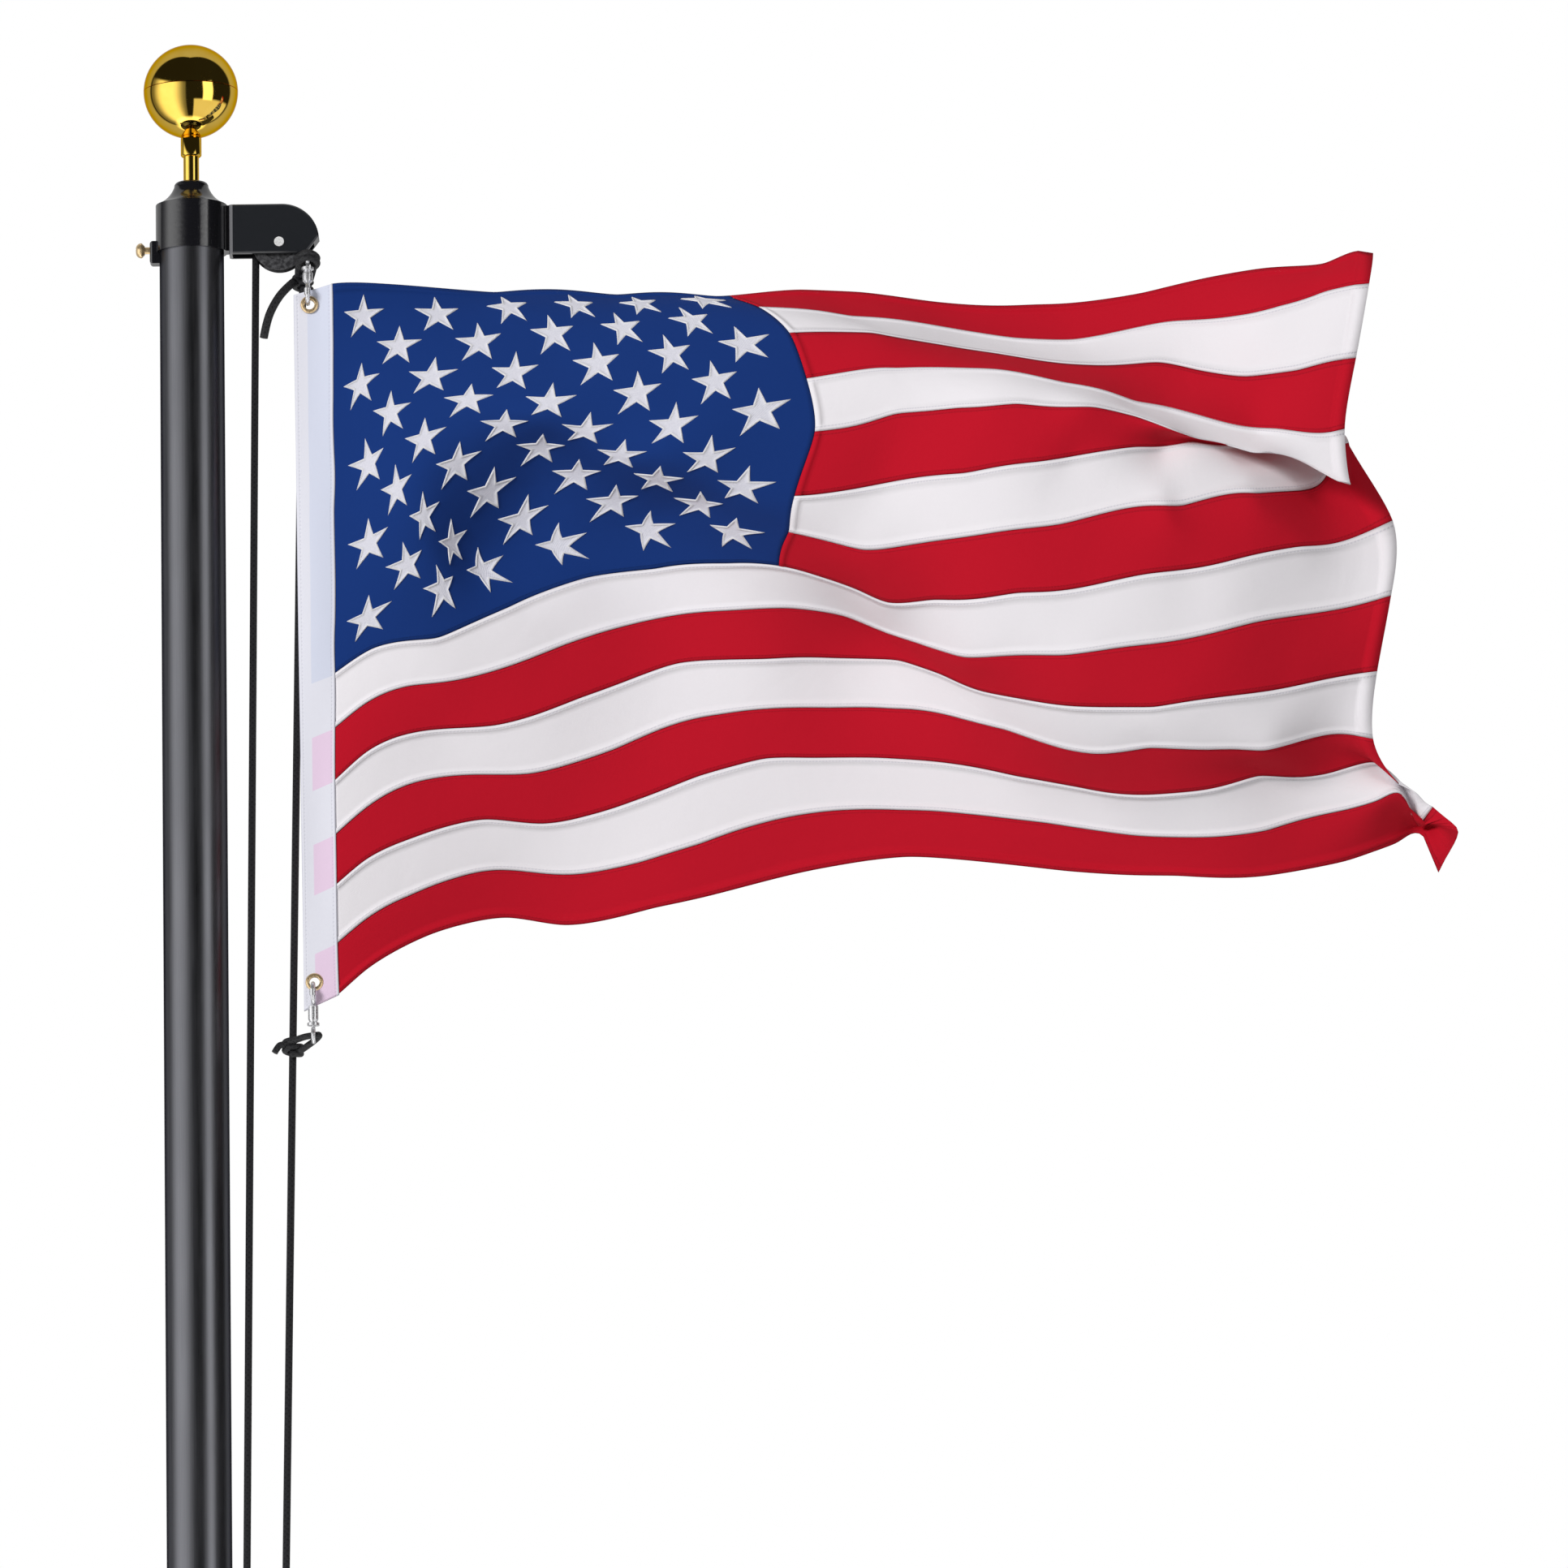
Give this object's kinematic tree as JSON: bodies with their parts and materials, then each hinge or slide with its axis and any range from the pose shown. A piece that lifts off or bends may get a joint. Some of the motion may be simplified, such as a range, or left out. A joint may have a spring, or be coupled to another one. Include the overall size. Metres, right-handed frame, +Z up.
{
  "type": "flagpole",
  "caption": "Tall sectional tube pole with a ball finial, a pulley truck, a cleat and a halyard that carries a sewn flag on snap hooks.",
  "frame": {"origin": "centre of the lowest tube's end at ground level, on the pole's axis", "axes": "+Z up along the pole; +X towards the pulley arm and the flag"},
  "size_m": [1.0343, 0.1325, 4.1081],
  "materials": {
    "tube": "satin black anodised",
    "truck_black": "gloss black",
    "gold": "mirror gold",
    "brass": "plain brass",
    "steel": "bright",
    "sheave_grey": "scuffed",
    "rope_black": "braided",
    "canvas": "plain canvas",
    "cloth_blue": "plain weave",
    "cloth_red": "plain weave",
    "cloth_white": "plain weave"
  },
  "bodies": {
    "pole": {"lower_tube": "tube", "middle_tube": "tube", "top_tube": "tube", "truck": "truck_black", "thumb_screw": "brass", "sheave_axle": "steel", "finial_stem": "gold", "finial_socket": "gold", "ball_lower_half": "gold", "ball_upper_half": "gold", "halyard_left": "rope_black", "halyard_right": "rope_black", "halyard_over_sheave": "rope_black", "halyard_cleat_turns": "rope_black", "cleat": "truck_black", "cleat_screws": "steel"},
    "sheave_body": {"sheave": "sheave_grey"},
    "hoist_line": {"upper_hitch": "rope_black", "lower_hitch": "rope_black", "upper_tail": "rope_black", "lower_tail": "rope_black", "upper_swivel_eye": "steel", "lower_swivel_eye": "steel"},
    "flag_body": {"upper_snap": "steel", "lower_snap": "steel", "upper_grommet": "brass", "lower_grommet": "brass", "heading": "canvas", "canton": "cloth_blue", "red_stripes": "cloth_red", "white_stripes": "cloth_white"}
  },
  "joints": [
    {"name": "sheave_spin", "type": "hinge", "parent": "pole", "child": "sheave_body", "pos_m": [0.0693, 0, 3.9458], "axis": [0, 1, 0], "continuous": true},
    {"name": "flag_hoist", "type": "slide", "parent": "pole", "child": "hoist_line", "axis": [-0.0197, -0.0066, -0.9998], "range_m": [0, 1.85]},
    {"name": "flag_swing", "type": "hinge", "parent": "hoist_line", "child": "flag_body", "pos_m": [0.092, -0.022, 3.64], "axis": [0, 0, 1], "range_deg": [-120, 60]}
  ],
  "couplings": [
    {"joint": "sheave_spin", "follows": "flag_hoist", "rad_per_m": 53.619}
  ]
}
